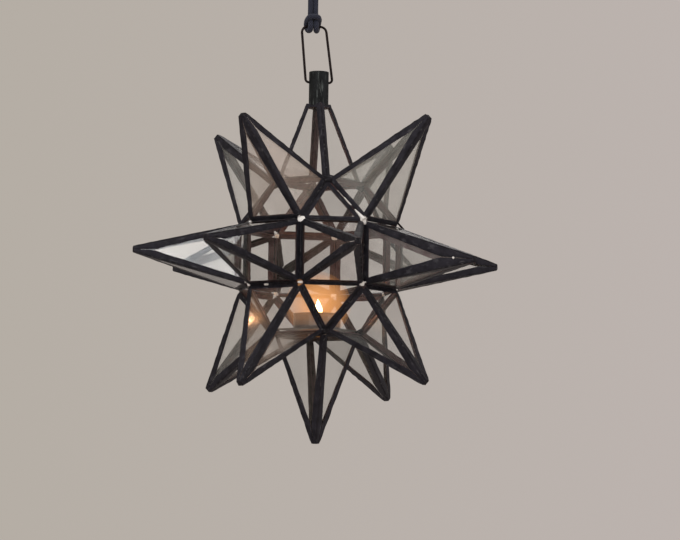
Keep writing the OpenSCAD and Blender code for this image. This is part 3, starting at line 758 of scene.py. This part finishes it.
# corners of the flat triangle at azimuth az, above (s 1) or below (s -1)
def triangleCorners(az, s):
    left = outward(az - 22.5, 0) * half / math.sin(math.radians(22.5)) + np.array([0, 0, s * half])
    right = outward(az + 22.5, 0) * half / math.sin(math.radians(22.5)) + np.array([0, 0, s * half])
    apex = outward(az, 0) * half * math.sqrt(2) + np.array([0, 0, s * faceDistance])
    return centre + np.array([left, right, apex] if s > 0 else [right, left, apex])


def makeTriangles(side, s):
    parts = []
    for q, az in enumerate((0, 90, 180, 270)):
        p = triangleCorners(az, s)
        n = unit(np.cross(p[1] - p[0], p[2] - p[0]))
        rng = np.random.default_rng(600 + q + 10 * s)
        for k, (wide, fold) in enumerate(star[side + "Triangle"]):
            flat = lambda v, w=wide: np.full_like(v, w)
            cut = rng.uniform(*star["cornerCut"], 2)
            seed = 700 + q * 9 + k + 60 * s
            parts.append(foldedStrip(p[k], p[(k + 1) % 3], n, flat, fold, seed, cut))
    piece = makePiece(side + "TriangleStrips", parts, stripMetals)
    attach(piece, "star")
    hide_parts(side + "_triangle_frames")
    paint(side + "_triangle_glass", panes["clear"])


makeTriangles("upper", 1)
makeTriangles("lower", -1)


# the solder on the body, in millimetres
bodySolder = {
    # radius of a bead, how far it stops short of the corners, and its depth
    "valley": (0.95, 3.2, 0.45),
    "inner": (0.8, 2.4, 1.75),
    "innerLowest": -50,  # from the body's middle; the valleys below it have no inner bead
    "spot": (0.33, 0.41, 0.95),  # from and to, as shares of the edge, and its radius
    "spotRise": 0.5,
    "besideDoor": ((0.5, 12.5, 1.9, 0.4), (17.5, 27.0, 0.3, 0.25)),  # from, to, radius at each
    "besideRise": 0.45,
    "behindDoor": (4, 47, 1.6, 0.85),  # from, to, depth and radius
    "drop": (0.9, 0.8, 0.5),
    "dropAt": (0.18, 0.82),  # its shares of the pane's base and tip
    # the flakes are bare solder whose near-white is a painted glint
    # half width and height of the bare solder in the holes round the ring, by point and corner
    "flakes": {
        ("front_point", 3): (3.1, 2.5), ("front_point", 2): (2.6, 2.4), ("front_point", 0): (2.0, 0.9),
        ("front_point", 1): (1.7, 1.5), ("back_point", 0): (2.3, 1.7), ("back_point", 1): (2.1, 1.6),
        ("back_point", 2): (2.1, 1.8), ("back_point", 3): (2.2, 1.7), ("right_point", 2): (2.1, 1.7),
    },
    "otherFlake": (1.7, 1.2),
    "flakeThick": 0.5,
    "flakeDepth": 1.3,
    "backFlakeDepth": 3.0,
    "plug": (4.0, 3.6, 3.0),
    "plugDepth": 1.8,
}


# the edges where neighbouring squares and triangles meet, but for those round the door
def valleyEdges():
    edges = {}
    for name in star["points"]:
        if name == "door":
            continue
        base, _ = pointCorners(name)
        for k in range(4):
            a, b = base[k], base[(k + 1) % 4]
            edges[tuple(np.round((a + b) / 2, 0))] = (a, b)
    az, el, _ = star["points"]["door"]
    square = centre + outward(az, el) * faceDistance + corners * half @ across(az, el)
    for k in range(4):
        edges.pop(tuple(np.round((square[k] + square[(k + 1) % 4]) / 2, 0)), None)
    return edges.values()


# at a corner of the body: the way out, and the level, upright and outward directions there
def facingOut(p):
    out = unit(p - centre)
    side = unit(np.cross((0, 0, 1), out))
    return out, np.vstack([side, np.cross(out, side), out])


# solder in the valleys, the bare solder that shows, white as a painted glint, and the soldered corners
def makeValleySolder(c):
    parts = []
    for i, (a, b) in enumerate(valleyEdges()):
        run, out = unit(b - a), unit((a + b) / 2 - centre)
        beads = [(c["valley"], 900, 24, 0)]
        if (a + b)[2] / 2 > centre[2] + c["innerLowest"]:
            # the inner bead is in the brown tin, whose brown is painted candle light
            beads.append((c["inner"], 1000, 16, 2))
        for (radius, short, depth), seed, steps, material in beads:
            start, stop = a + run * short - out * depth, b - run * short - out * depth
            parts.append(bead(start, stop, radius, seed + i, steps, material))
    # one spot of bare tin on the front left point's lower edge, near-white as a painted highlight
    a, b = pointCorners("front_left_point")[0][:2]
    low, high, radius = c["spot"]
    rise = unit((a + b) / 2 - centre) * c["spotRise"]
    parts.append(bead(a + (b - a) * low + rise, a + (b - a) * high + rise, radius, 990, 8))
    # the near-white of this solder is a painted glint
    # bare solder squeezed out beside the door: a wedge at its lower left corner and a thread above it
    p = triangleCorners(0, 1)
    run, out = unit(p[2] - p[1]), unit((p[1] + p[2]) / 2 - centre)
    for low, high, thick, thin in c["besideDoor"]:
        path = p[1] + run * np.linspace(low, high, 12)[:, None] + out * c["besideRise"]
        parts.append(tubeAlong(path, np.linspace(thick, thin, 12), 8, 1, out))
    # a bead behind the door, in the brown tin whose brown is painted candle light
    low, high, depth, radius = c["behindDoor"]
    start, stop = p[1] + run * low - out * depth, p[1] + run * high - out * depth
    parts.append(bead(start, stop, radius, 1500, 24, 2))
    # and a drop of bare solder on the front right point, where its two strips meet, white as a painted
    # glint
    base, end = pointCorners("front_right_point")
    n = unit(np.cross(base[0] - base[3], end[3] - base[3]))
    atBase, atTip = c["dropAt"]
    drop = (base[3] + base[0]) / 2 * atBase + (end[3] + end[0]) / 2 * atTip
    axes = np.vstack([run, np.cross(n, run), n])
    parts.append(solderBlob(drop - n * 0.1, axes, c["drop"], 1400, 1, 8, 10))
    # a hole is left at each corner round the ring, with bare solder showing in it, white as a painted
    # glint
    for name in ("front_point", "right_point", "back_point", "left_point"):
        depth = c["backFlakeDepth"] if name == "back_point" else c["flakeDepth"]
        for k, p in enumerate(pointCorners(name)[0]):
            out, axes = facingOut(p)
            size = (*c["flakes"].get((name, k), c["otherFlake"]), c["flakeThick"])
            seed = 1200 + 4 * len(parts) + k
            parts.append(solderBlob(p - out * depth, axes, size, seed, 1, 8, 10))
    # the corners of the top and bottom squares are soldered shut
    for name in ("top_point", "bottom_point"):
        for k, p in enumerate(pointCorners(name)[0]):
            out, axes = facingOut(p)
            middle = p - out * c["plugDepth"]
            parts.append(solderBlob(middle, axes, c["plug"], 1300 + k, 0, 8, 10))
    piece = makePiece("valleySolder", parts, [solderTin, bareTinAndGlint, candlelitTin])
    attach(piece, "star")
    print("soldered valleys", len(parts))


makeValleySolder(bodySolder)


for name in ("door_knuckle", "body_knuckles", "hinge_pin", "hanging_loop"):
    paint(name, wireTin)
paint("neck_tube", neckTin)
paint("ceiling_hook", hookBlack)
paint("candle_plate", plateTin)

# the tealight, in millimetres
tealight = {
    "x": 7.0,
    "foot": -344.262,  # the height of its foot
    "radius": 19.25,
    "height": 12.5,
    "wall": 0.4,
    "wax": 9.1,
    "flutes": 24,
    "fluteDepth": 0.12,
    "flameX": 8.6,
    "flameLow": 1.6,  # over the wax
    "flameHeight": 14,
    "flameWidth": 6.4,
    "lean": 1.3,
    "flamePower": 0.25,  # watts
    "flameColour": (1.0, 0.56, 0.26),
    "lightAt": (-0.6, 8),  # across and up from the flame's foot
    # the painted glow round the flame: how many shells, the largest one's size, its place across and up
    "glowShells": 14,
    "glowSize": 26,
    "glowAt": (-0.8, 9.5),
}


# a profile of (radius, height) turned about the upright line through x, sides times round
def lathe(profile, sides, x, foot):
    p = np.array(profile, float)
    a = np.linspace(0, 2 * np.pi, sides, endpoint=False)
    r, z = p[:, 0, None], np.broadcast_to(p[:, 1, None], (len(p), sides))
    rings = np.stack([x + r * np.cos(a), r * np.sin(a), foot + z], -1)
    uv = np.stack(np.broadcast_arrays(a[None, :] / (2 * np.pi), np.linspace(0, 1, len(p))[:, None]), -1)
    return closedSweep(rings, uv)


def makeTealight(t):
    r, h, w = t["radius"], t["height"], t["wall"]
    sides = 96
    # the cup: a flat foot, a wall with shallow flutes and a rim that is rolled outwards
    wall = [(0.4, 0), (r - 1.6, 0), (r - 0.75, 0.35), (r - 0.55, 1.2)]
    wall += [(r - 0.55, z) for z in np.linspace(2, h - 1.4, 8)]
    rim = [(0.35, 0.9), (0.05, 0.6), (0, 0.3), (0.1, 0.03), (0.35, 0), (0.75, 0.25)]
    wall += [(r - inwards, h - down) for inwards, down in rim]
    wall += [(r - 0.95, z) for z in np.linspace(h - 1, 1.0, 6)] + [(r - 1.6, w), (0.4, w)]
    points, *rest = lathe(wall, sides, t["x"], t["foot"])
    grid = points.reshape(len(wall), sides, 3)
    angle = np.linspace(0, 2 * np.pi, sides, endpoint=False)
    tall = np.array([z for _, z in wall])
    belly = np.clip(np.minimum(tall - 1.2, h - 1.4 - tall), 0, 1)
    push = t["fluteDepth"] * np.cos(angle * t["flutes"])[None, :] * belly[:, None]
    grid[..., 0] += push * np.cos(angle)
    grid[..., 1] += push * np.sin(angle)
    cup = makePiece("tealightCup", [(grid.reshape(-1, 3), *rest)], [cupAluminium], 50)
    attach(cup, "candle")
    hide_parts("candle_cup")
    # the wax: its surface climbs 0.35 mm at the wall and dips 0.25 mm where the flame has melted it
    inside = r - w - 0.65
    level = lambda x: t["wax"] + 0.35 * (x / inside) ** 6 - 0.25 * math.exp(-((x - 1.2) / 5) ** 2)
    dish = [(x, level(x)) for x in np.linspace(0.3, inside, 18)]
    body = [(0.3, w + 0.05), (inside - 0.6, w + 0.05), (inside, w + 0.7), (inside, 3), (inside, 6)]
    wax = makePiece("waxPool", [lathe(body + dish[::-1], 72, t["x"], t["foot"])], [candleWax], 60)
    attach(wax, "candle")
    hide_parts("candle_wax")
    # the wick leans over at its charred end
    bend = np.linspace(0, 1, 14)
    path = np.stack([t["x"] - 0.5 * bend**3, 0 * bend, t["foot"] + 1.5 + (t["wax"] + 2.6) * bend], -1)
    wick = makePiece("wickCharred", [tubeAlong(path, 0.62 * (1 - 0.35 * bend**4), 10)], [wickCotton], 60)
    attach(wick, "candle")
    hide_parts("candle_wick")


makeTealight(tealight)


# a teardrop: radius sin(pi u^0.85)^0.8 (1.08 - 0.5 u) times half the width, its middle line leaning
# as u^1.6
def teardrop(low, height, width, x, lean):
    u = np.linspace(0.02, 0.985, 26)[:, None]
    a = np.linspace(0, 2 * np.pi, 28, endpoint=False)
    r = width / 2 * np.sin(np.pi * u**0.85) ** 0.8 * (1.08 - 0.5 * u)
    middle = x - lean * u**1.6
    rings = np.broadcast_arrays(middle + r * np.cos(a), r * np.sin(a), low + height * u)
    uv = np.stack(np.broadcast_arrays(a / (2 * np.pi), u), -1)
    return closedSweep(np.stack(rings, -1), uv)


# the flame with its light, and a painted glow round it: a nest of round shells about the flame's middle,
# their radii growing as the power 1.2 of their number
def makeFlame(t):
    low = t["foot"] + t["wax"] + t["flameLow"]
    drop = teardrop(low, t["flameHeight"], t["flameWidth"], t["flameX"], t["lean"])
    flame = makePiece("candleFlame", [drop], [flameGlow], 180)
    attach(flame, "candle")
    shells = []
    up = np.linspace(-1.5, 1.5, 20)[:, None]
    around = np.linspace(0, 2 * np.pi, 32, endpoint=False)
    uv = np.stack(np.broadcast_arrays(around / (2 * np.pi), up / 3), -1)
    x, z = t["flameX"] + t["glowAt"][0], low + t["glowAt"][1]
    for size in t["glowSize"] * (np.arange(1, t["glowShells"] + 1) / t["glowShells"]) ** 1.2:
        wide, tall = size * np.cos(up), size * np.sin(up)
        rings = np.broadcast_arrays(x + wide * np.cos(around), wide * np.sin(around), z + tall)
        shells.append(closedSweep(np.stack(rings, -1), uv))
    haze = makePiece("flameHalo", shells, [flamePaintedGlow], 180)
    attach(haze, "candle")
    glow = bpy.data.objects.new("flameLight", bpy.data.lights.new("flameLight", "POINT"))
    glow.data.energy = t["flamePower"]
    glow.data.color = t["flameColour"]
    glow.data.shadow_soft_size = 0.004
    glow.data.specular_factor = 0.2
    glow.location = ((t["flameX"] + t["lightAt"][0]) * mm, 0, (low + t["lightAt"][1]) * mm)
    glow.parent = flame  # so that it moves with the candle
    scene.collection.objects.link(glow)


makeFlame(tealight)
print("tealight")


# the room: a pale world, a floor below the lantern, and four soft boxes
def makeRoom(s):
    world = bpy.data.worlds.new("room")
    scene.world = world
    world.use_nodes = True
    tree = world.node_tree
    tree.nodes.clear()
    out = tree.nodes.new("ShaderNodeOutputWorld")
    seen = addNode(tree, "ShaderNodeBackground", Strength=1.0)
    # the wall is a little lighter and cooler towards the right
    around = addNode(tree, "ShaderNodeTexCoord")
    axes = addNode(tree, "ShaderNodeSeparateXYZ")
    tree.links.new(around.outputs["Generated"], axes.inputs["Vector"])
    slope = ramp(tree, axes.outputs["X"], [(0.06, s["wallLeft"]), (0.31, s["wallRight"])])
    tree.links.new(slope.outputs["Color"], seen.inputs["Color"])
    light = addNode(tree, "ShaderNodeBackground", Color=(1.0, 0.98, 0.96, 1), Strength=s["ambient"])
    # the camera sees the wall, also mirrored and through glass; the plain light falls on the rest
    path = tree.nodes.new("ShaderNodeLightPath")
    seeing = path.outputs["Is Camera Ray"]
    for ray in ("Is Glossy Ray", "Is Transmission Ray"):
        either = addNode(tree, "ShaderNodeMath", operation="MAXIMUM")
        tree.links.new(seeing, either.inputs[0])
        tree.links.new(path.outputs[ray], either.inputs[1])
        seeing = either.outputs[0]
    mix = tree.nodes.new("ShaderNodeMixShader")
    tree.links.new(seeing, mix.inputs["Fac"])
    tree.links.new(light.outputs[0], mix.inputs[1])
    tree.links.new(seen.outputs[0], mix.inputs[2])
    tree.links.new(mix.outputs[0], out.inputs["Surface"])
    mesh = bpy.data.meshes.new("floor")
    low = cadBox[0].z - s["floorBelow"]
    mesh.from_pydata([(x, y, low) for x, y in corners * s["floorHalf"]], [], [(0, 1, 2, 3)])
    floor = bpy.data.objects.new("floor", mesh)
    scene.collection.objects.link(floor)
    mat, tree, shader = startMaterial("paleFloor")
    grain = mappedNoise(tree, "Object", (1, 1, 1), 6, 2.0, 0.5)
    lighter = tuple(1.03 * c for c in s["wall"])
    tone = ramp(tree, grain.outputs["Fac"], [(0.3, s["wall"]), (0.7, lighter)])
    tree.links.new(tone.outputs["Color"], shader.inputs["Base Color"])
    shader.inputs["Roughness"].default_value = 0.9
    mesh.materials.append(mat)
    for name, (place, size, power) in s["boxes"].items():
        lamp = bpy.data.objects.new(name, bpy.data.lights.new(name, "AREA"))
        lamp.data.size = size
        lamp.data.energy = power
        lamp.location = place
        lamp.rotation_euler = (Vector(s["aim"]) - Vector(place)).to_track_quat("-Z", "Y").to_euler()
        scene.collection.objects.link(lamp)


makeRoom(shot)
print("room")
